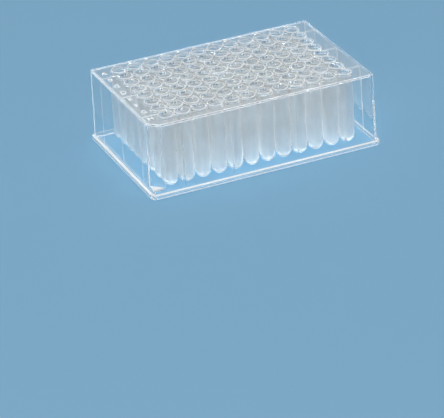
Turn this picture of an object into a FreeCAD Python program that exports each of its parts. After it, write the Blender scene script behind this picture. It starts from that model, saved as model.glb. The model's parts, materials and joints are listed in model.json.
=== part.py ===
import FreeCAD, Part
import math
import os

import Sketcher

# A 96-well deep-well plate, moulded in one piece of clear polystyrene.
# Frame: origin at the middle of the base plane, X along the twelve columns, Y from row H to row A, Z up.
# The footprint and the well grid follow the usual microplate standard. Lengths in mm, angles in degrees.
SIZES = {
    "footprint_length": 127.76,
    "footprint_width": 85.48,
    "flange_height": 2.4,
    "flange_step": 1.4,            # how far the base flange stands out from the foot of the wall
    "flange_corner_radius": 3.2,
    "deck_height": 39.6,           # top of the deck above the base plane
    "wall_thickness": 1.2,         # of the skirt and the deck
    "wall_draft": 0.8,
    "wall_corner_radius": 1.0,
    "deck_edge_radius": 0.4,
    "notch_leg": 5.4,              # cut-off corner at well H1
    "notch_floor": 5.0,            # below this height the corner is square again
    "recess_depth": 1.1,           # the base of one plate sits over the deck of the next
    "recess_clearance": 0.4,
    "well_pitch": 9.0,
    "column_count": 12,
    "row_count": 8,
    "well_radius": 3.4,
    "well_floor": 2.0,             # lowest point inside a well
    "tube_wall": 0.7,              # round the mouth of a well
    "tube_end_wall": 0.5,          # round its hemispherical end
    "rim_height": 0.8,
    "rim_chamfer": 0.2,
    "rib_thickness": 0.9,
    "rib_floor": 2.4,
    "end_bay_column_count": 1,     # columns of wells before the first rib of a long side
    "side_bay_column_count": 3,    # and between the first rib and the second
    "end_bay_row_count": 1,        # rows of wells before the first rib of a short side
}
PARTS = "parts"
FULL_TURN = 360
TOLERANCE = 1e-4
UPRIGHT = 0.99                     # share of an upright edge's length that is height, whatever its draft

# Derived sizes, as expressions over the sheet
HALF_LENGTH = "(Sizes.footprint_length / 2)"
HALF_WIDTH = "(Sizes.footprint_width / 2)"
WALL_FOOT_X = f"({HALF_LENGTH} - Sizes.flange_step)"
WALL_FOOT_Y = f"({HALF_WIDTH} - Sizes.flange_step)"
DRAFT_INSET = "(Sizes.deck_height * tan(Sizes.wall_draft * 1deg))"
DECK_X = f"({WALL_FOOT_X} - {DRAFT_INSET})"
DECK_Y = f"({WALL_FOOT_Y} - {DRAFT_INSET})"
LAST_COLUMN_X = "(Sizes.well_pitch * (Sizes.column_count - 1) / 2)"
LAST_ROW_Y = "(Sizes.well_pitch * (Sizes.row_count - 1) / 2)"
RIM_TOP_Z = "(Sizes.deck_height + Sizes.rim_height)"
ROUND_END_Z = "(Sizes.well_floor + Sizes.well_radius)"
TUBE_RADIUS = "(Sizes.well_radius + Sizes.tube_wall)"
TUBE_END_RADIUS = "(Sizes.well_radius + Sizes.tube_end_wall)"
MID_WALL = "Sizes.wall_thickness / 2"
HALF_PITCH = "Sizes.well_pitch / 2"
HALF_RIB = "Sizes.rib_thickness / 2"
RIB_HEIGHT = f"Sizes.deck_height - Sizes.rib_floor - {MID_WALL}"
NOTCH_REACH = "Sizes.notch_leg + Sizes.notch_leg"


def make_sheet(doc):
    """The driving dimensions, one per row, each with an alias."""
    sheet = doc.addObject("Spreadsheet::Sheet", "Sizes")
    for row, (name, value) in enumerate(SIZES.items(), start=1):
        sheet.set(f"A{row}", name)
        sheet.set(f"B{row}", str(value))
        sheet.setAlias(f"B{row}", name)
    doc.recompute()
    return sheet


def origin_plane(body, role):
    """One of the body's own origin planes, found by its role."""
    return next(item for item in body.Origin.OriginFeatures if item.Role == role)


def value_of(item, expression):
    """The number that an expression over the sheet gives."""
    value = item.evalExpression(str(expression))
    return float(getattr(value, "Value", value))


def bind_constraint(sketch, name, constraint, expression):
    """Add a sketch dimension whose value comes from the sheet."""
    index = sketch.addConstraint(Sketcher.Constraint(*constraint, value_of(sketch, expression)))
    sketch.renameConstraint(index, name)
    sketch.setExpression(f"Constraints.{name}", expression)


def place_point(sketch, name, geometry, position, x, y):
    """Fix a point of a sketch at a place given by two expressions."""
    bind_constraint(sketch, f"{name}_x", ("DistanceX", -1, 1, geometry, position), x)
    bind_constraint(sketch, f"{name}_y", ("DistanceY", -1, 1, geometry, position), y)


def make_sketch(body, name, role="XY_Plane", offset=()):
    """An empty sketch on an origin plane, moved in that plane's own frame by named expressions."""
    sketch = body.newObject("Sketcher::SketchObject", name)
    sketch.AttachmentSupport = [(origin_plane(body, role), "")]
    sketch.MapMode = "FlatFace"
    for axis, expression in offset:
        sketch.setExpression(f"AttachmentOffset.Base.{axis}", expression)
    return sketch


def add_polygon(sketch, name, corners):
    """A closed loop of lines through corners given as pairs of expressions."""
    points = [FreeCAD.Vector(value_of(sketch, x), value_of(sketch, y), 0) for x, y in corners]
    ends = points[1:] + points[:1]
    lines = [sketch.addGeometry(Part.LineSegment(a, b), False) for a, b in zip(points, ends)]
    for line, following in zip(lines, lines[1:] + lines[:1]):
        sketch.addConstraint(Sketcher.Constraint("Coincident", line, 2, following, 1))
    for number, (line, (x, y)) in enumerate(zip(lines, corners)):
        place_point(sketch, f"{name}{number}", line, 1, x, y)
    return lines


def add_rectangle(sketch, name, low_x, high_x, low_y, high_y):
    """A closed rectangle between four expressions."""
    return add_polygon(sketch, name, [(low_x, low_y), (high_x, low_y), (high_x, high_y), (low_x, high_y)])


def add_centred_rectangle(sketch, name, half_x, half_y):
    """A closed rectangle about the sketch's origin."""
    return add_rectangle(sketch, name, f"-{half_x}", half_x, f"-{half_y}", half_y)


def pad(body, name, sketch, length):
    """A solid upwards from the sketch."""
    feature = body.newObject("PartDesign::Pad", name)
    feature.Profile = sketch
    feature.setExpression("Length", length)
    return feature


def pocket(body, name, sketch, length):
    """A cut upwards from the sketch."""
    feature = body.newObject("PartDesign::Pocket", name)
    feature.Profile = sketch
    feature.Reversed = True
    feature.setExpression("Length", length)
    return feature


def names_where(shape, kind, test):
    """Names such as Edge4 of the edges or faces that pass a test."""
    return [f"{kind}{n}" for n, item in enumerate(getattr(shape, kind + "s"), start=1) if test(item)]


def is_upright(edge):
    """Does this edge run up the plate, give or take the draft?"""
    run = edge.Vertexes[-1].Point - edge.Vertexes[0].Point
    return run.Length > TOLERANCE and abs(run.z) > UPRIGHT * run.Length


def fillet(body, name, edges, radius):
    """Round named edges of the body's newest feature."""
    base = body.Tip
    feature = body.newObject("PartDesign::Fillet", name)
    feature.Base = (base, edges)
    feature.setExpression("Radius", radius)
    return feature


def mirrored_both_ways(body, name, originals):
    """Copies of features in the other three quarters of the plate."""
    multi = body.newObject("PartDesign::MultiTransform", name)
    multi.Originals = originals
    steps = []
    for role in ("XZ_Plane", "YZ_Plane"):
        step = body.newObject("PartDesign::Mirrored", f"{name}{role[:2]}")
        step.MirrorPlane = (origin_plane(body, role), [""])
        steps.append(step)
    multi.Transformations = steps
    body.Tip = multi
    return multi


def repeated_at_each_well(body, name, original, sketch):
    """Copies of the feature at well A1 along the columns and the rows."""
    multi = body.newObject("PartDesign::MultiTransform", name)
    multi.Originals = [original]
    steps = []
    for label, axis, count in (("Columns", "H_Axis", "column_count"), ("Rows", "N_Axis", "row_count")):
        step = body.newObject("PartDesign::LinearPattern", name + label)
        step.Direction = (sketch, [axis])
        step.setExpression("Length", f"Sizes.well_pitch * (Sizes.{count} - 1)")
        step.setExpression("Occurrences", f"Sizes.{count}")
        steps.append(step)
    multi.Transformations = steps
    body.Tip = multi
    return multi


def make_skirt(doc, body):
    """The drafted box with its cut-off corner, hollow and open below, under a flat deck."""
    outline = make_sketch(body, "WallFoot")
    add_centred_rectangle(outline, "foot", WALL_FOOT_X, WALL_FOOT_Y)
    block = pad(body, "Block", outline, "Sizes.deck_height")
    doc.recompute()

    draft = body.newObject("PartDesign::Draft", "WallDraft")
    sides = names_where(block.Shape, "Face", lambda face: abs(face.normalAt(0, 0).z) < TOLERANCE)
    draft.Base = (block, sides)
    draft.NeutralPlane = (origin_plane(body, "XY_Plane"), [""])
    draft.setExpression("Angle", "Sizes.wall_draft")

    corner = make_sketch(body, "NotchOutline", offset=[("z", "Sizes.notch_floor")])
    outside_x, outside_y = f"-{DECK_X} - Sizes.notch_leg", f"-{DECK_Y} - Sizes.notch_leg"
    add_polygon(corner, "notch", [
        (outside_x, outside_y),
        (f"-{DECK_X} + {NOTCH_REACH}", outside_y),
        (outside_x, f"-{DECK_Y} + {NOTCH_REACH}"),
    ])
    pocket(body, "Notch", corner, "Sizes.deck_height")
    doc.recompute()

    cut = body.Tip
    hollow = body.newObject("PartDesign::Thickness", "Hollow")
    hollow.Base = (cut, names_where(cut.Shape, "Face", lambda face: abs(face.CenterOfMass.z) < TOLERANCE))
    hollow.Reversed = True
    hollow.Join = 1
    hollow.setExpression("Value", "Sizes.wall_thickness")
    doc.recompute()
    return hollow


def is_outside(body, point):
    """Is this point on the outer skin of the wall, and not on its hollow side?"""
    reach_x = value_of(body, f"{DECK_X} - {MID_WALL}")
    reach_y = value_of(body, f"{DECK_Y} - {MID_WALL}")
    return abs(point.x) > reach_x or abs(point.y) > reach_y


def round_the_wall(doc, body):
    """Soft corners up the outside of the wall, and a soft edge round the deck."""
    shell = body.Tip
    upright = names_where(
        shell.Shape, "Edge",
        lambda edge: is_upright(edge) and is_outside(body, edge.CenterOfMass))
    fillet(body, "WallCorners", upright, "Sizes.wall_corner_radius")
    doc.recompute()
    deck_height = float(doc.Sizes.deck_height)
    rim = names_where(
        body.Tip.Shape, "Edge",
        lambda edge: all(abs(v.Z - deck_height) < TOLERANCE for v in edge.Vertexes))
    fillet(body, "DeckEdge", rim, "Sizes.deck_edge_radius")
    doc.recompute()


def make_flange(doc, body):
    """The low flange round the foot of the wall, and the recess under it that takes the next plate's deck."""
    ring = make_sketch(body, "FlangeOutline")
    add_centred_rectangle(ring, "outer", HALF_LENGTH, HALF_WIDTH)
    add_centred_rectangle(
        ring, "inner", f"({WALL_FOOT_X} - {MID_WALL})", f"({WALL_FOOT_Y} - {MID_WALL})")
    pad(body, "Flange", ring, "Sizes.flange_height")
    doc.recompute()
    half_length, half_width = value_of(body, HALF_LENGTH), value_of(body, HALF_WIDTH)
    corners = names_where(
        body.Tip.Shape, "Edge",
        lambda edge: is_upright(edge) and abs(abs(edge.CenterOfMass.x) - half_length) < TOLERANCE
        and abs(abs(edge.CenterOfMass.y) - half_width) < TOLERANCE)
    fillet(body, "FlangeCorners", corners, "Sizes.flange_corner_radius")
    recess = make_sketch(body, "RecessOutline")
    add_centred_rectangle(
        recess, "recess", f"({DECK_X} + Sizes.recess_clearance)", f"({DECK_Y} + Sizes.recess_clearance)")
    pocket(body, "StackingRecess", recess, "Sizes.recess_depth")
    doc.recompute()


def make_ribs(doc, body):
    """Upright ribs that tie the outer tubes to the wall, between chosen columns and rows."""
    wall_x, wall_y = f"-{DECK_X} + {MID_WALL}", f"-{DECK_Y} + {MID_WALL}"
    plan = make_sketch(body, "RibPlan", offset=[("z", "Sizes.rib_floor")])
    first = "Sizes.end_bay_column_count"
    for name, columns in (("first", first), ("second", f"({first} + Sizes.side_bay_column_count)")):
        middle = f"-{LAST_COLUMN_X} - {HALF_PITCH} + Sizes.well_pitch * {columns}"
        low, high = f"{middle} - {HALF_RIB}", f"{middle} + {HALF_RIB}"
        add_rectangle(plan, name, low, high, wall_y, f"-{LAST_ROW_Y}")
    middle = f"-{LAST_ROW_Y} - {HALF_PITCH} + Sizes.well_pitch * Sizes.end_bay_row_count"
    low, high = f"{middle} - {HALF_RIB}", f"{middle} + {HALF_RIB}"
    add_rectangle(plan, "end", wall_x, f"-{LAST_COLUMN_X}", low, high)
    quarter = pad(body, "Rib", plan, RIB_HEIGHT)
    doc.recompute()
    mirrored_both_ways(body, "Ribs", [quarter])
    doc.recompute()

    middle_plan = make_sketch(body, "MiddleRibPlan", offset=[("z", "Sizes.rib_floor")])
    add_rectangle(middle_plan, "middle", wall_x, f"-{LAST_COLUMN_X}", f"-{HALF_RIB}", HALF_RIB)
    middle_rib = pad(body, "MiddleRib", middle_plan, RIB_HEIGHT)
    doc.recompute()
    other = body.newObject("PartDesign::Mirrored", "MiddleRibs")
    other.Originals = [middle_rib]
    other.MirrorPlane = (origin_plane(body, "YZ_Plane"), [""])
    body.Tip = other
    doc.recompute()


def make_turned_sketch(body, name, end_radius, corners):
    """A half section beside well A1's axis: a quarter circle up from the lowest point, then lines to the axis.

    The corners are pairs of expressions, a radius and a height, and the last one lies on the axis.
    """
    sketch = make_sketch(body, name, "XZ_Plane", [("x", f"-{LAST_COLUMN_X}"), ("z", f"-{LAST_ROW_Y}")])
    radius = value_of(sketch, end_radius)
    centre = FreeCAD.Vector(0, value_of(sketch, ROUND_END_Z), 0)
    circle = Part.Circle(centre, FreeCAD.Vector(0, 0, 1), radius)
    arc = sketch.addGeometry(Part.ArcOfCircle(circle, -math.pi / 2, 0), False)
    place_point(sketch, "centre", arc, 3, "0", ROUND_END_Z)
    place_point(sketch, "lowest", arc, 1, "0", f"{ROUND_END_Z} - {end_radius}")
    bind_constraint(sketch, "side_height", ("DistanceY", -1, 1, arc, 2), ROUND_END_Z)

    points = [centre + FreeCAD.Vector(radius, 0, 0)]
    points += [FreeCAD.Vector(value_of(sketch, x), value_of(sketch, y), 0) for x, y in corners]
    points.append(centre - FreeCAD.Vector(0, radius, 0))
    lines = [sketch.addGeometry(Part.LineSegment(a, b), False) for a, b in zip(points, points[1:])]
    for before, after in zip([arc] + lines, lines + [arc]):
        sketch.addConstraint(Sketcher.Constraint("Coincident", before, 2, after, 1))
    for number, (line, (x, y)) in enumerate(zip(lines, corners)):
        place_point(sketch, f"corner{number}", line, 2, x, y)
    return sketch


def turn(body, name, kind, sketch):
    """A full turn of a half section about its own upright axis, added or cut as kind says."""
    feature = body.newObject(f"PartDesign::{kind}", name)
    feature.Profile = sketch
    feature.ReferenceAxis = (sketch, ["V_Axis"])
    feature.Angle = FULL_TURN
    return feature


def make_wells(doc, body):
    """Round-ended tubes that hang from the deck, each with a raised rim, and the wells inside them."""
    tube_section = make_turned_sketch(body, "TubeSection", TUBE_END_RADIUS, [
        (TUBE_RADIUS, f"Sizes.deck_height - {MID_WALL}"),
        (TUBE_RADIUS, f"{RIM_TOP_Z} - Sizes.rim_chamfer"),
        (f"{TUBE_RADIUS} - Sizes.rim_chamfer", RIM_TOP_Z),
        ("0", RIM_TOP_Z),
    ])
    tube = turn(body, "Tube", "Revolution", tube_section)
    doc.recompute()
    repeated_at_each_well(body, "Tubes", tube, tube_section)
    doc.recompute()

    well_section = make_turned_sketch(body, "WellSection", "Sizes.well_radius", [
        ("Sizes.well_radius", f"{RIM_TOP_Z} - Sizes.rim_chamfer"),
        ("Sizes.well_radius + Sizes.rim_chamfer", RIM_TOP_Z),
        ("0", RIM_TOP_Z),
    ])
    well = turn(body, "Well", "Groove", well_section)
    doc.recompute()
    repeated_at_each_well(body, "Wells", well, well_section)
    doc.recompute()


def check(doc, nodes):
    """Stop unless every feature worked and every node is one valid solid."""
    failed = [item.Name for item in doc.Objects if {"Invalid", "Error"} & set(item.State)]
    if failed:
        raise RuntimeError(f"failed features: {failed}")
    for node in nodes:
        if node.Shape.isNull() or not node.Shape.isValid() or len(node.Shape.Solids) != 1:
            raise RuntimeError(f"{node.Label} isn't one valid solid")


def main():
    """Build the plate and write its solid."""
    doc = FreeCAD.newDocument("WellPlate")
    make_sheet(doc)
    plate = doc.addObject("PartDesign::Body", "WellPlate")
    plate.Label = "well_plate"
    make_skirt(doc, plate)
    round_the_wall(doc, plate)
    make_flange(doc, plate)
    make_ribs(doc, plate)
    make_wells(doc, plate)
    check(doc, [plate])
    os.makedirs(PARTS, exist_ok=True)
    plate.Shape.exportStep(f"{PARTS}/{plate.Label}.step")


main()
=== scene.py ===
import json
import math

import bmesh
import bpy
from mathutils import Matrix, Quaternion, Vector


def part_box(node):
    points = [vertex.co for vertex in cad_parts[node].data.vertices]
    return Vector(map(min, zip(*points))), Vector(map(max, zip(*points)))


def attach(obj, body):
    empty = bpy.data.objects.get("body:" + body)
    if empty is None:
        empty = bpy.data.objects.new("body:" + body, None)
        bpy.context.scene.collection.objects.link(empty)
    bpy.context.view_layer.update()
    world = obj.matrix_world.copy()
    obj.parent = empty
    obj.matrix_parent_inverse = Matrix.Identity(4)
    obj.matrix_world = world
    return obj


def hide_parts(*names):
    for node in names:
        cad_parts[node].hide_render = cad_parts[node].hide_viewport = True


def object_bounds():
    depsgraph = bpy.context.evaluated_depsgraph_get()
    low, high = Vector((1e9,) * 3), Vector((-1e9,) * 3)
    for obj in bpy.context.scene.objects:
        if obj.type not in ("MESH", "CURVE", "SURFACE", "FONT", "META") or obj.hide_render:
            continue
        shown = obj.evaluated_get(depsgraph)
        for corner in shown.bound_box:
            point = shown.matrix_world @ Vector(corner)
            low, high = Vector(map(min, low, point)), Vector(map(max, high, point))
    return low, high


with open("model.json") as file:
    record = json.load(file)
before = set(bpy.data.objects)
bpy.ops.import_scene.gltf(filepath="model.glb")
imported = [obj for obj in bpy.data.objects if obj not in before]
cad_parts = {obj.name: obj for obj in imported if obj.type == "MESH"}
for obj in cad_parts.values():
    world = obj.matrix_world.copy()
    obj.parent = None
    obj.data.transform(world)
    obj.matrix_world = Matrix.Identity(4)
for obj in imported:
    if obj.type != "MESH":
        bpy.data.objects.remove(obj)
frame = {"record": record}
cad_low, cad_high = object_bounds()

# A clear deep-well plate on a pale blue floor. The plate's lengths are in millimetres, and MM turns them
# into the frame's metres. Places of lamps and the camera are in metres. Angles are in degrees.
MM = 0.001
PLATE = "well_plate"
BODY = "root"
DIAGONAL = math.sqrt(2)

# Skirt, deck and flange
box_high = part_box(PLATE)[1]
HALF_LENGTH = box_high.x / MM
HALF_WIDTH = box_high.y / MM
RIM_TOP = box_high.z / MM
RIM_HEIGHT = 0.8
DECK = RIM_TOP - RIM_HEIGHT
FLANGE_HEIGHT = 2.4
FLANGE_STEP = 1.4
FLANGE_CORNER = 3.2
WALL = 1.2                      # thickness of the skirt and the deck
WALL_DRAFT = 0.8
SLOPE = math.tan(math.radians(WALL_DRAFT))
WALL_ALONG = WALL / math.cos(math.atan(SLOPE))   # the drafted wall's thickness, measured level
WALL_CORNER = 1.0
INNER_CORNER = 0.4
NOTCH_LEG = 5.4                 # corner H1 is cut off
NOTCH_FLOOR = 5.0               # above this height
RECESS_DEPTH = 1.1              # the base sits over the deck of a plate below
RECESS_CLEARANCE = 0.4
RECESS_CORNER = 0.3
FOOT_X = HALF_LENGTH - FLANGE_STEP
FOOT_Y = HALF_WIDTH - FLANGE_STEP
DECK_X = FOOT_X - DECK * SLOPE
DECK_Y = FOOT_Y - DECK * SLOPE
NOTCH_LINE = DECK_X + DECK_Y - NOTCH_LEG

# Small roundings. HALFWAY is how far, each way, the middle of one lies from the sharp edge that it
# replaces.
FLANGE_EDGE = 0.3
FLANGE_EDGE_STEPS = 3
FLANGE_HIGHLIGHT_BAND = 0.5               # height of the band with a painted highlight above the flange's lower rounding
DECK_EDGE = 0.4
DECK_EDGE_STEPS = 4
WALL_ROUND = 0.3                # at the foot of the wall, and inside under the deck
WALL_HALFWAY = 0.09
NOTCH_EDGE = 0.2                # the edges of the cut-off corner's floor slant over this height
NOTCH_EDGE_INSET = 0.06         # and go in by this much
RIM_ROUND = 0.2
RIM_HALFWAY = 0.06
RIM_ROOT = 0.15                 # where a rim meets the deck
RIM_ROOT_OUT = 0.04
RIM_ROOT_UP = 0.05
TUBE_ROOT = 0.25                # where a tube meets the underside of the deck
TUBE_ROOT_HALFWAY = 0.07

# Wells, as the record places them
wells = {
    mount["name"]: (mount["pos_m"][0] / MM, mount["pos_m"][1] / MM)
    for mount in frame["record"]["mounts"] if mount["kind"] == "bore"
}
WELL_RADIUS = 3.4
TUBE_RADIUS = 4.1
TUBE_END_RADIUS = 3.9
ROUND_END = 5.4                 # height at which the round ends of the wells and tubes start
ROUND_END_STEPS = 6
AROUND = 40                     # faces round a well
CORNER_STEPS = 6                # faces round an upright corner
CORNER_LINE = (2, 3)            # the ones in its middle, which carry a painted highlight

# Ribs between the outer tubes and the wall
RIB_HALF = 0.45                 # half of a rib's thickness
RIB_FOOT = 2.4                  # height at which the ribs start
RIB_ROUND = 0.15
RIB_ROUND_STEPS = 2
RIB_COLUMN_GAPS = (-45, -18, 18, 45)
RIB_ROW_GAPS = (-27, 0, 27)
LAST_COLUMN = 49.5
LAST_ROW = 31.5
RIB_REACH = 1.1                 # how far past the middle of the outer wells the ribs end

# Raised letters and numbers on the deck
ROW_LETTERS = "ABCDEFGH"
LETTER_X = -57.7
LETTER_HEIGHT = 3.3
COLUMNS = range(1, 13)
NUMBER_Y = 37.9
NUMBER_HEIGHT = 2.8
MARK_RISE = 0.25
MARK_DEPTH = 0.04               # these three are shares of the text's size, before it is scaled
MARK_BEVEL = 0.012
MARK_THINNING = 0.013
MARK_CURVE_STEPS = 4

GAP = 0.03                      # between separate pieces, so that no surface cuts another
MERGE = 0.001                   # corners nearer than this become one
MARK_MERGE = 0.002
SHARP_ANGLE = 50                # edges that turn by more stay sharp

# Finishes of the moulding, in the order of its material slots. PAINTED_HIGHLIGHT is a near-white painted
# highlight on edges and roundings, RIM_SIDE a light milky haze on the outside of a rim that also paints
# part of its brightness,
# TUBE_FOOT_HIGHLIGHT a painted highlight on the band near a tube's lowest point that shows as a bright arc,
# CORNER a painted highlight down the middle of an upright corner, and FLANGE_FOOT_HIGHLIGHT a painted
# highlight on the flange's lower edge.
(CLEAR, MILKY, WELL_INSIDE, RIM_SIDE, PAINTED_HIGHLIGHT, TUBE_END, TUBE_FOOT_HIGHLIGHT, WELL_FLOOR, CORNER,
 FLANGE_FOOT_HIGHLIGHT) = range(10)
RIB_PAINTED_HIGHLIGHT = 1                  # the ribs' second finish, a painted highlight where a rib meets the deck and the wall

PLASTIC_REFRACTION = 1.57
RIPPLES_PER_METRE = 120.0
RIPPLE_DEPTH = 0.004
RIPPLE_STRENGTH = 0.3
SHEEN_ROUGHNESS = 0.3
SHADOW_TINT = (0.97, 0.985, 0.99, 1)
WHITE = (1, 1, 1, 1)

FLOOR_HALF = 6.0                # in metres
FLOOR_DROP = 0.2
BOUNCES = 300                   # light crosses many thin walls on its way through the plate
SHADOW_WALLS = 96               # walls that a shadow ray may cross
BRIGHTEST_SPARK = 20            # cap on reflected light, against stray bright dots


def arc(centre_x, centre_y, radius, start, end):
    """Points round part of a circle, between two angles."""
    angles = [math.radians(start + (end - start) * step / CORNER_STEPS) for step in range(CORNER_STEPS + 1)]
    return [(centre_x + radius * math.cos(a), centre_y + radius * math.sin(a)) for a in angles]


def outline(half_x, half_y, radius, cut=None):
    """A ring of points round the plate, anticlockwise from above.

    With cut, corner H1 is cut off along the line x + y = -cut.
    """
    near_x, near_y = half_x - radius, half_y - radius
    along = 0 if cut is None else half_x + half_y - cut - radius * (2 - DIAGONAL)
    points = arc(near_x, near_y, radius, 0, 90)
    points += arc(-near_x, near_y, radius, 90, 180)
    points += arc(-near_x, -near_y + along, radius, 180, 225)
    points += arc(-near_x + along, -near_y, radius, 225, 270)
    points += arc(near_x, -near_y, radius, 270, 360)
    return points


def wall_outline(height, inset=0.0, radius=WALL_CORNER, cut=False):
    """The drafted wall's outline at a height, moved in from its outer skin."""
    line = NOTCH_LINE - inset * DIAGONAL if cut else None
    half_x = FOOT_X - height * SLOPE - inset
    half_y = FOOT_Y - height * SLOPE - inset
    return outline(half_x, half_y, radius, line)


def add_ring(mesh, points, height):
    """The corners of one ring, all at one height."""
    return [mesh.verts.new((x * MM, y * MM, height * MM)) for x, y in points]


def add_wall_ring(mesh, height, inset=0.0, radius=WALL_CORNER, cut=False):
    """A ring that follows the drafted wall at a height."""
    return add_ring(mesh, wall_outline(height, inset, radius, cut), height)


def skin(mesh, rings, finishes, corner_lines=False):
    """Faces from each ring to the next, with one finish for each band.

    With corner_lines, the middle of each rounded upright corner has the corner's finish instead, a painted
    highlight.
    """
    for lower, upper, finish in zip(rings, rings[1:], finishes):
        for n, corner in enumerate(lower):
            following = (n + 1) % len(lower)
            face = mesh.faces.new((corner, lower[following], upper[following], upper[n]))
            on_corner = corner_lines and n % (CORNER_STEPS + 1) in CORNER_LINE
            face.material_index = CORNER if on_corner else finish


def ring_edges(mesh, ring):
    """The edges that close a ring."""
    pairs = zip(ring, ring[1:] + ring[:1])
    return [mesh.edges.get(pair) or mesh.edges.new(pair) for pair in pairs]


def fill_flat(mesh, rings):
    """A clear flat face between an outline and the holes in it."""
    edges = [edge for ring in rings for edge in ring_edges(mesh, ring)]
    made = bmesh.ops.triangle_fill(mesh, use_beauty=True, edges=edges)
    for face in made["geom"]:
        if isinstance(face, bmesh.types.BMFace):
            face.material_index = CLEAR


def quarter_round(steps, radius):
    """How far in and how far up a rounded edge has come, at each step round it."""
    angles = [math.radians(90 * step / steps) for step in range(steps + 1)]
    return [(radius * (1 - math.cos(a)), radius * math.sin(a)) for a in angles]


def add_outer_skin(mesh):
    """The flange, the wall with its cut-off corner, and the rounded edge of the deck.

    Gives its lowest ring and its highest. Each entry in bands is the finish from one ring to the next.
    """
    edge = quarter_round(FLANGE_EDGE_STEPS, FLANGE_EDGE)
    flange = [(inset, FLANGE_EDGE - rise) for inset, rise in reversed(edge)]
    flange.append((0, FLANGE_EDGE + FLANGE_HIGHLIGHT_BAND))
    flange += [(inset, FLANGE_HEIGHT - FLANGE_EDGE + rise) for inset, rise in edge]
    rings = [
        add_ring(mesh, outline(HALF_LENGTH - inset, HALF_WIDTH - inset, FLANGE_CORNER - inset), height)
        for inset, height in flange]
    # Most of the flange's lower rounding and the band above it carry a painted highlight, and so does the
    # upper part of its top rounding.
    bands = [CLEAR, FLANGE_FOOT_HIGHLIGHT, FLANGE_FOOT_HIGHLIGHT, FLANGE_FOOT_HIGHLIGHT, CLEAR, CLEAR, PAINTED_HIGHLIGHT, PAINTED_HIGHLIGHT]
    rings += [
        add_wall_ring(mesh, FLANGE_HEIGHT, -WALL_ROUND),
        add_ring(mesh, wall_outline(FLANGE_HEIGHT, -WALL_HALFWAY), FLANGE_HEIGHT + WALL_HALFWAY),
        add_wall_ring(mesh, FLANGE_HEIGHT + WALL_ROUND),
    ]
    # The flange's flat top and the lower half of the rounding at the wall's foot carry a painted highlight.
    bands += [PAINTED_HIGHLIGHT, PAINTED_HIGHLIGHT, CLEAR]
    rings += [
        add_wall_ring(mesh, NOTCH_FLOOR - NOTCH_EDGE),
        add_wall_ring(mesh, NOTCH_FLOOR, NOTCH_EDGE_INSET),
        add_wall_ring(mesh, NOTCH_FLOOR, NOTCH_EDGE_INSET, cut=True),
        add_wall_ring(mesh, NOTCH_FLOOR + NOTCH_EDGE, cut=True),
    ]
    # The floor of the cut-off corner carries a painted highlight.
    bands += [CLEAR, CLEAR, PAINTED_HIGHLIGHT, CLEAR]
    rings += [
        add_wall_ring(mesh, DECK - DECK_EDGE + rise, inset, WALL_CORNER - inset, cut=True)
        for inset, rise in quarter_round(DECK_EDGE_STEPS, DECK_EDGE)]
    # One band of the deck's rounded edge carries a painted highlight.
    bands += [CLEAR, CLEAR, CLEAR, PAINTED_HIGHLIGHT, CLEAR]
    skin(mesh, rings, bands, corner_lines=True)
    return rings[0], rings[-1]


def add_hollow_side(mesh):
    """The recess under the flange and the inside of the wall, up to the underside of the deck.

    Gives its lowest ring and its highest.
    """
    recess = outline(DECK_X + RECESS_CLEARANCE, DECK_Y + RECESS_CLEARANCE, RECESS_CORNER)
    notch_under = NOTCH_FLOOR - WALL
    deck_under = DECK - WALL
    rings = [add_ring(mesh, recess, 0), add_ring(mesh, recess, RECESS_DEPTH)]
    rings += [
        add_wall_ring(mesh, height, WALL_ALONG + inset, INNER_CORNER, cut)
        for height, inset, cut in (
            (RECESS_DEPTH, 0, False),
            (notch_under, 0, False),
            (notch_under, 0, True),
            (deck_under - WALL_ROUND, 0, True),
            (deck_under - WALL_HALFWAY, WALL_HALFWAY, True),
            (deck_under, WALL_ROUND, True),
        )]
    # The rounding inside, under the deck, carries a painted highlight.
    skin(mesh, rings, [CLEAR, CLEAR, CLEAR, CLEAR, CLEAR, PAINTED_HIGHLIGHT, PAINTED_HIGHLIGHT])
    return rings[0], rings[-1]


def circle(centre, radius):
    """Points round a well's axis."""
    angles = [math.tau * n / AROUND for n in range(AROUND)]
    return [(centre[0] + radius * math.cos(a), centre[1] + radius * math.sin(a)) for a in angles]


def turned(mesh, centre, profile, finishes):
    """A surface turned about a well's axis, from pairs of radius and height that end on the axis.

    There is one finish for each band between two pairs. Gives the first ring, which stays open.
    """
    rings = [add_ring(mesh, circle(centre, radius), height) for radius, height in profile[:-1]]
    skin(mesh, rings, finishes[:-1])
    tip = mesh.verts.new((centre[0] * MM, centre[1] * MM, profile[-1][1] * MM))
    last = rings[-1]
    for a, b in zip(last, last[1:] + last[:1]):
        face = mesh.faces.new((a, b, tip))
        face.material_index = finishes[-1]
    return rings[0]


def round_end(radius):
    """The hemisphere under a well or a tube, from its side down to its lowest point."""
    angles = [math.radians(90 * step / ROUND_END_STEPS) for step in range(ROUND_END_STEPS)]
    points = [(radius * math.cos(a), ROUND_END - radius * math.sin(a)) for a in angles]
    points.append((0, ROUND_END - radius))
    return points


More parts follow.
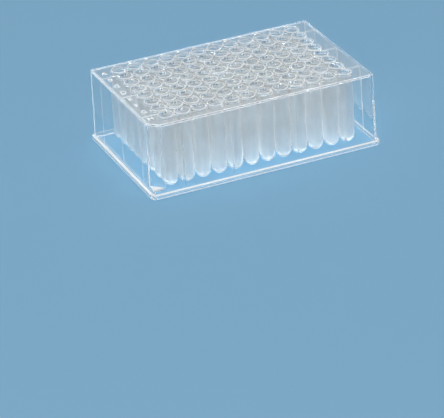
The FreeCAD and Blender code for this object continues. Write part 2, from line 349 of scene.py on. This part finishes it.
def add_wells(mesh):
    """Every well with its raised rim, and the tube round it under the deck.

    Gives the rings where they meet the top of the deck, and those where they meet its underside.
    """
    mouth = [
        (TUBE_RADIUS + RIM_ROOT, DECK),
        (TUBE_RADIUS + RIM_ROOT_OUT, DECK + RIM_ROOT_UP),
        (TUBE_RADIUS, DECK + RIM_ROOT),
        (TUBE_RADIUS, RIM_TOP - RIM_ROUND),
        (TUBE_RADIUS - RIM_HALFWAY, RIM_TOP - RIM_HALFWAY),
        (TUBE_RADIUS - RIM_ROUND, RIM_TOP),
        (WELL_RADIUS + RIM_ROUND, RIM_TOP),
        (WELL_RADIUS + RIM_HALFWAY, RIM_TOP - RIM_HALFWAY),
        (WELL_RADIUS, RIM_TOP - RIM_ROUND),
        (WELL_RADIUS, DECK - WALL),
    ]
    well_profile = mouth + round_end(WELL_RADIUS)
    # The rim's outer side has a light milky haze that paints part of its brightness, and its outer rounding
    # and flat top carry a painted highlight.
    well_finishes = [CLEAR, CLEAR, RIM_SIDE, PAINTED_HIGHLIGHT, PAINTED_HIGHLIGHT, PAINTED_HIGHLIGHT, CLEAR, CLEAR]
    # The bore has a blue-grey tint: painted shade that darkens the wells.
    well_finishes += [WELL_INSIDE, WELL_INSIDE] + [WELL_FLOOR] * ROUND_END_STEPS
    root = [
        (TUBE_RADIUS + TUBE_ROOT, DECK - WALL),
        (TUBE_RADIUS + TUBE_ROOT_HALFWAY, DECK - WALL - TUBE_ROOT_HALFWAY),
        (TUBE_RADIUS, DECK - WALL - TUBE_ROOT),
    ]
    tube_profile = root + round_end(TUBE_END_RADIUS)
    # One band near the tube's lowest point carries a painted highlight, which shows as a bright arc.
    tube_finishes = [MILKY, MILKY, MILKY, TUBE_END, TUBE_END, TUBE_END, TUBE_FOOT_HIGHLIGHT, TUBE_END, TUBE_END]
    rims, roots = [], []
    for centre in wells.values():
        rims.append(turned(mesh, centre, well_profile, well_finishes))
        roots.append(turned(mesh, centre, tube_profile, tube_finishes))
    return rims, roots


def finished_piece(mesh, name):
    """An object from a mesh, with broad faces shaded flat and soft shading over small roundings."""
    for face in mesh.faces:
        face.smooth = True
    data = bpy.data.meshes.new(name)
    mesh.to_mesh(data)
    mesh.free()
    data.set_sharp_from_angle(angle=math.radians(SHARP_ANGLE))
    piece = bpy.data.objects.new(name, data)
    bpy.context.collection.objects.link(piece)
    shading = piece.modifiers.new("even_faces", "WEIGHTED_NORMAL")
    shading.mode = "FACE_AREA"
    shading.keep_sharp = True
    return piece


def make_plate():
    """The whole moulding as one closed surface."""
    mesh = bmesh.new()
    flange_foot, deck_outline = add_outer_skin(mesh)
    recess_foot, hollow_top = add_hollow_side(mesh)
    skin(mesh, [recess_foot, flange_foot], [CLEAR])
    rims, roots = add_wells(mesh)
    fill_flat(mesh, [deck_outline] + rims)
    fill_flat(mesh, [hollow_top] + roots)
    bmesh.ops.remove_doubles(mesh, verts=mesh.verts, dist=MERGE * MM)
    bmesh.ops.dissolve_degenerate(mesh, dist=MERGE * MM, edges=mesh.edges)
    bmesh.ops.recalc_face_normals(mesh, faces=mesh.faces)
    return finished_piece(mesh, "plate_moulding")


def make_rib(mesh, middle, wall_foot, inner_end, on_short_side):
    """One upright rib with a soft foot, from the drafted wall to the gap between two outer tubes.

    A rib on a short side has a painted highlight where it meets the deck and the wall.
    """
    side = math.copysign(1, wall_foot)
    corners = []
    for height in (RIB_FOOT, DECK - WALL - GAP):
        outer = wall_foot - side * (WALL_ALONG + height * SLOPE + GAP)
        ends = ((outer, -RIB_HALF), (outer, RIB_HALF), (inner_end, RIB_HALF), (inner_end, -RIB_HALF))
        for along, thick in ends:
            x, y = (along, middle + thick) if on_short_side else (middle + thick, along)
            corners.append(mesh.verts.new((x * MM, y * MM, height * MM)))
    faces = [(0, 1, 2, 3), (7, 6, 5, 4), (0, 4, 5, 1), (1, 5, 6, 2), (2, 6, 7, 3), (3, 7, 4, 0)]
    made = [mesh.faces.new([corners[n] for n in face]) for face in faces]
    foot, top, wall_end = made[:3]
    # On the short sides, the top and the end against the wall carry a painted highlight.
    if on_short_side:
        top.material_index = RIB_PAINTED_HIGHLIGHT
        wall_end.material_index = RIB_PAINTED_HIGHLIGHT
    inner_edges = [mesh.edges.get((corners[n], corners[n + 4])) for n in (2, 3)]
    bmesh.ops.bevel(
        mesh, geom=list(foot.edges) + inner_edges, offset=RIB_ROUND * MM, segments=RIB_ROUND_STEPS,
        affect="EDGES", profile=0.5)


def make_ribs():
    """All the ribs, as one piece of separate closed slabs."""
    mesh = bmesh.new()
    for side in (-1, 1):
        for middle in RIB_COLUMN_GAPS:
            make_rib(mesh, middle, side * FOOT_Y, side * (LAST_ROW + RIB_REACH), on_short_side=False)
        for middle in RIB_ROW_GAPS:
            make_rib(mesh, middle, side * FOOT_X, side * (LAST_COLUMN + RIB_REACH), on_short_side=True)
    bmesh.ops.recalc_face_normals(mesh, faces=mesh.faces)
    return finished_piece(mesh, "ribs")


def add_mark(mesh, words, x, y, tall):
    """One raised letter or number, centred over a place on the deck."""
    curve = bpy.data.curves.new("mark", "FONT")
    curve.body = words
    curve.extrude = MARK_DEPTH
    curve.bevel_depth = MARK_BEVEL
    curve.offset = -MARK_THINNING
    curve.resolution_u = MARK_CURVE_STEPS
    maker = bpy.data.objects.new("mark", curve)
    bpy.context.collection.objects.link(maker)
    bpy.context.view_layer.update()
    shape = bpy.data.meshes.new_from_object(maker.evaluated_get(bpy.context.evaluated_depsgraph_get()))
    bpy.data.objects.remove(maker)
    points = [vertex.co.copy() for vertex in shape.vertices]
    lowest = Vector(min(point[axis] for point in points) for axis in range(3))
    highest = Vector(max(point[axis] for point in points) for axis in range(3))
    middle = (lowest + highest) / 2
    scale = tall / (highest.y - lowest.y)
    rise = MARK_RISE / (highest.z - lowest.z)
    for vertex in shape.vertices:
        offset = vertex.co - middle
        height = DECK + GAP + (vertex.co.z - lowest.z) * rise
        vertex.co = Vector((x + offset.x * scale, y + offset.y * scale, height)) * MM
    mesh.from_mesh(shape)
    bpy.data.meshes.remove(shape)


def make_marks(name, marks, tall):
    """A row of raised marks on the deck, from words and their places."""
    mesh = bmesh.new()
    for words, x, y in marks:
        add_mark(mesh, words, x, y, tall)
    bmesh.ops.remove_doubles(mesh, verts=mesh.verts, dist=MARK_MERGE * MM)
    bmesh.ops.recalc_face_normals(mesh, faces=mesh.faces)
    return finished_piece(mesh, name)


# Finishes

def new_node(tree, kind, **values):
    """A shader node with values on its own sockets."""
    node = tree.nodes.new(kind)
    for name, value in values.items():
        node.inputs[name.replace("_", " ")].default_value = value
    return node


def moulded_surface_group():
    """Long soft ripples that the mould leaves, as a height, a roughness and a colour.

    The ripples add some cloudiness to the base roughness, and fade the tint towards white.
    """
    group = bpy.data.node_groups.new("moulded_surface", "ShaderNodeTree")
    for name in ("Ripples Per Metre", "Base Roughness", "Cloudiness"):
        group.interface.new_socket(name, in_out="INPUT", socket_type="NodeSocketFloat")
    group.interface.new_socket("Tint", in_out="INPUT", socket_type="NodeSocketColor")
    for name in ("Height", "Roughness"):
        group.interface.new_socket(name, in_out="OUTPUT", socket_type="NodeSocketFloat")
    group.interface.new_socket("Colour", in_out="OUTPUT", socket_type="NodeSocketColor")
    inputs = group.nodes.new("NodeGroupInput")
    outputs = group.nodes.new("NodeGroupOutput")
    place = group.nodes.new("ShaderNodeTexCoord")
    ripple = new_node(group, "ShaderNodeTexNoise", Detail=2.0, Roughness=0.4)
    group.links.new(place.outputs["Object"], ripple.inputs["Vector"])
    group.links.new(inputs.outputs["Ripples Per Metre"], ripple.inputs["Scale"])
    group.links.new(ripple.outputs["Fac"], outputs.inputs["Height"])
    haze = group.nodes.new("ShaderNodeMath")
    haze.operation = "MULTIPLY_ADD"
    group.links.new(ripple.outputs["Fac"], haze.inputs[0])
    group.links.new(inputs.outputs["Cloudiness"], haze.inputs[1])
    group.links.new(inputs.outputs["Base Roughness"], haze.inputs[2])
    group.links.new(haze.outputs[0], outputs.inputs["Roughness"])
    tint = group.nodes.new("ShaderNodeMix")
    tint.data_type = "RGBA"
    tint.inputs["B"].default_value = WHITE
    group.links.new(inputs.outputs["Tint"], tint.inputs["A"])
    group.links.new(ripple.outputs["Fac"], tint.inputs["Factor"])
    group.links.new(tint.outputs["Result"], outputs.inputs["Colour"])
    return group


moulded_surface = moulded_surface_group()


def plastic(name, clearness, roughness, cloudiness=0.03, refraction=PLASTIC_REFRACTION, sheen=0.0,
            tint=(1, 1, 1)):
    """Polystyrene that lets a share of the light through and scatters the rest as a milky veil."""
    material = bpy.data.materials.new(name)
    material.use_nodes = True
    tree = material.node_tree
    shader = tree.nodes["Principled BSDF"]
    shader.inputs["IOR"].default_value = refraction
    shader.inputs["Transmission Weight"].default_value = clearness
    shader.inputs["Sheen Weight"].default_value = sheen
    shader.inputs["Sheen Roughness"].default_value = SHEEN_ROUGHNESS
    surface = tree.nodes.new("ShaderNodeGroup")
    surface.node_tree = moulded_surface
    surface.inputs["Ripples Per Metre"].default_value = RIPPLES_PER_METRE
    surface.inputs["Base Roughness"].default_value = roughness
    surface.inputs["Cloudiness"].default_value = cloudiness
    surface.inputs["Tint"].default_value = (*tint, 1)
    tree.links.new(surface.outputs["Colour"], shader.inputs["Base Color"])
    tree.links.new(surface.outputs["Roughness"], shader.inputs["Roughness"])
    bump = new_node(tree, "ShaderNodeBump", Strength=RIPPLE_STRENGTH, Distance=RIPPLE_DEPTH * MM)
    tree.links.new(surface.outputs["Height"], bump.inputs["Height"])
    tree.links.new(bump.outputs["Normal"], shader.inputs["Normal"])
    path = tree.nodes.new("ShaderNodeLightPath")
    see_through = new_node(tree, "ShaderNodeBsdfTransparent", Color=SHADOW_TINT)
    mix = tree.nodes.new("ShaderNodeMixShader")
    output = tree.nodes["Material Output"]
    tree.links.new(path.outputs["Is Shadow Ray"], mix.inputs["Fac"])
    tree.links.new(shader.outputs[0], mix.inputs[1])
    tree.links.new(see_through.outputs[0], mix.inputs[2])
    tree.links.new(mix.outputs[0], output.inputs["Surface"])
    return material


# The moulding, its ribs and its raised marks
plate = make_plate()
for finish in (
    plastic("clear_skirt", clearness=1.0, roughness=0.0, cloudiness=0.005),
    plastic("milky_tube", clearness=0.88, roughness=0.3, tint=(0.74, 0.68, 0.62)),
    # Blue-grey tint: painted shade that darkens the insides of the wells.
    plastic("well_inside", clearness=1.0, roughness=0.12, tint=(0.60, 0.70, 0.80)),
    # A light milky haze that paints part of the rims' brightness.
    plastic("rim_side", clearness=0.8, roughness=0.05),
    # Near-white: a painted highlight on edges and roundings.
    plastic("painted_highlight_line", clearness=0.12, roughness=0.2, sheen=0.5, tint=(0.82, 0.84, 0.86)),
    plastic("milky_tube_end", clearness=0.9, roughness=0.1, sheen=1.0, tint=(0.9, 0.88, 0.86)),
    # Near-white: a painted highlight on a band near each tube's lowest point.
    plastic("tube_foot_painted_highlight", clearness=0.05, roughness=0.1, sheen=1.0, tint=(0.92, 0.9, 0.88)),
    plastic("well_floor", clearness=1.0, roughness=0.6, tint=(0.8, 0.82, 0.84)),
    # Partly white: a painted highlight down the middle of upright corners.
    plastic("corner_painted_highlight", clearness=0.6, roughness=0.1),
    # Near-white: a painted highlight on the flange's lower edge.
    plastic("flange_foot_painted_highlight", clearness=0.05, roughness=0.2, sheen=1.0, tint=(0.95, 0.96, 0.97)),
):
    plate.data.materials.append(finish)
ribs = make_ribs()
for finish in (
    plastic("clear_rib", clearness=0.99, roughness=0.02, refraction=1.05),
    # Partly white: a painted highlight on the short sides' ribs.
    plastic("rib_painted_highlight", clearness=0.4, roughness=0.2),
):
    ribs.data.materials.append(finish)
letters = [(letter, LETTER_X, wells[f"well_{letter}1"][1]) for letter in ROW_LETTERS]
numbers = [(str(column), wells[f"well_A{column}"][0], NUMBER_Y) for column in COLUMNS]
row_letters = make_marks("row_letters", letters, LETTER_HEIGHT)
column_numbers = make_marks("column_numbers", numbers, NUMBER_HEIGHT)
raised_mark = plastic("raised_mark", clearness=0.6, roughness=0.1, refraction=1.3)
for marks in (row_letters, column_numbers):
    marks.data.materials.append(raised_mark)
for piece in (plate, ribs, row_letters, column_numbers):
    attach(piece, BODY)
for piece in (plate, ribs):
    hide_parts(PLATE)


# Floor, light and camera

def plain_matt(name, colour):
    """A matt finish for the floor."""
    material = bpy.data.materials.new(name)
    material.use_nodes = True
    shader = material.node_tree.nodes["Principled BSDF"]
    shader.inputs["Base Color"].default_value = (*colour, 1)
    shader.inputs["Roughness"].default_value = 0.9
    shader.inputs["Specular IOR Level"].default_value = 0.0
    return material


def make_floor(colour):
    """A plain level floor, just under the plate."""
    height = cad_low.z - FLOOR_DROP * MM
    corners = [(x * FLOOR_HALF, y * FLOOR_HALF, height) for x, y in ((-1, -1), (1, -1), (1, 1), (-1, 1))]
    data = bpy.data.meshes.new("floor")
    data.from_pydata(corners, [], [(0, 1, 2, 3)])
    floor = bpy.data.objects.new("floor", data)
    floor.data.materials.append(plain_matt("pale_blue_floor", colour))
    bpy.context.collection.objects.link(floor)


def light_the_room(overhead, level):
    """White light all round, weaker from overhead than from the walls."""
    world = bpy.data.worlds.new("studio")
    world.use_nodes = True
    tree = world.node_tree
    place = tree.nodes.new("ShaderNodeTexCoord")
    split = tree.nodes.new("ShaderNodeSeparateXYZ")
    fade = new_node(tree, "ShaderNodeMapRange", To_Min=level, To_Max=overhead)
    tree.links.new(place.outputs["Generated"], split.inputs[0])
    tree.links.new(split.outputs["Z"], fade.inputs["Value"])
    background = tree.nodes["Background"]
    background.inputs["Color"].default_value = WHITE
    tree.links.new(fade.outputs["Result"], background.inputs["Strength"])
    bpy.context.scene.world = world


def make_lamp(name, place, size, watts, mirrored=True):
    """A soft box that faces the plate.

    One that isn't mirrored lights the plate without glare on its flat faces.
    """
    light = bpy.data.lights.new(name, "AREA")
    light.shape = "RECTANGLE"
    light.size, light.size_y = size
    light.energy = watts
    lamp = bpy.data.objects.new(name, light)
    lamp.location = place
    lamp.rotation_euler = (-Vector(place)).to_track_quat("-Z", "Y").to_euler()
    lamp.visible_glossy = mirrored
    bpy.context.collection.objects.link(lamp)


def make_camera(place, aim, roll, lens):
    """A long lens that looks at the plate from its H1 corner, turned a little about its line of sight."""
    data = bpy.data.cameras.new("camera")
    data.sensor_width = 36
    data.lens = lens
    camera = bpy.data.objects.new("camera", data)
    camera.location = place
    level = (Vector(aim) - Vector(place)).to_track_quat("-Z", "Y")
    camera.rotation_euler = (level @ Quaternion((0, 0, 1), math.radians(roll))).to_euler()
    bpy.context.collection.objects.link(camera)
    bpy.context.scene.camera = camera


make_floor(colour=(0.22, 0.42, 0.60))
light_the_room(overhead=0.33, level=0.70)
make_lamp("lamp_above", place=(-0.2, 0.3, 1.3), size=(1.6, 1.2), watts=7.8)
make_lamp("lamp_right", place=(1.2, -0.5, 0.9), size=(0.8, 0.8), watts=3.3)
make_lamp("lamp_front", place=(-0.6, -1.1, 0.35), size=(1.2, 0.6), watts=5.7, mirrored=False)
make_camera(
    place=(-0.50329, -1.22069, 0.63259), aim=(-0.01418, -0.01106, -0.03117), roll=-3.79, lens=227.9)

scene = bpy.context.scene
scene.view_settings.view_transform = "Standard"
scene.cycles.max_bounces = BOUNCES
scene.cycles.diffuse_bounces = BOUNCES
scene.cycles.glossy_bounces = BOUNCES
scene.cycles.transmission_bounces = BOUNCES
scene.cycles.transparent_max_bounces = SHADOW_WALLS
scene.cycles.sample_clamp_indirect = BRIGHTEST_SPARK
scene.cycles.blur_glossy = 0
